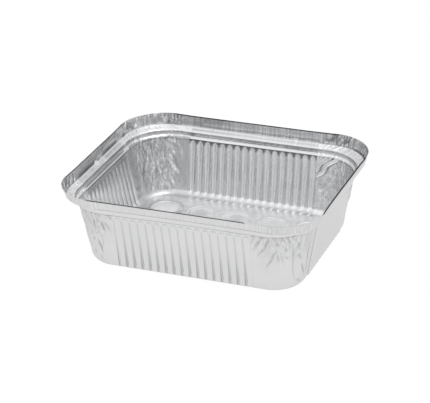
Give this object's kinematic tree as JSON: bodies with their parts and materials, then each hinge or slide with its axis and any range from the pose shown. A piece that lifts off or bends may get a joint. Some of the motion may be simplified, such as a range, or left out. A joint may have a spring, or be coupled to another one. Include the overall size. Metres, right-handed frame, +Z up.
{
  "type": "aluminium foil tray",
  "caption": "Shallow rectangular food tray pressed from thin foil, with rounded corners, pleated sloping walls, a stepped ledge for a lid and an upright flange around the top.",
  "frame": {"origin": "Middle of the underside, on the surface that the tray stands on.", "axes": "+X along the long side, +Y along the short side, +Z up out of the open top."},
  "size_m": [0.146, 0.121, 0.0444],
  "materials": {
    "foil": "bright rolled foil, semi-gloss with fine rolling lines"
  },
  "bodies": {
    "root": {"foil_tray": "foil"}
  },
  "joints": []
}
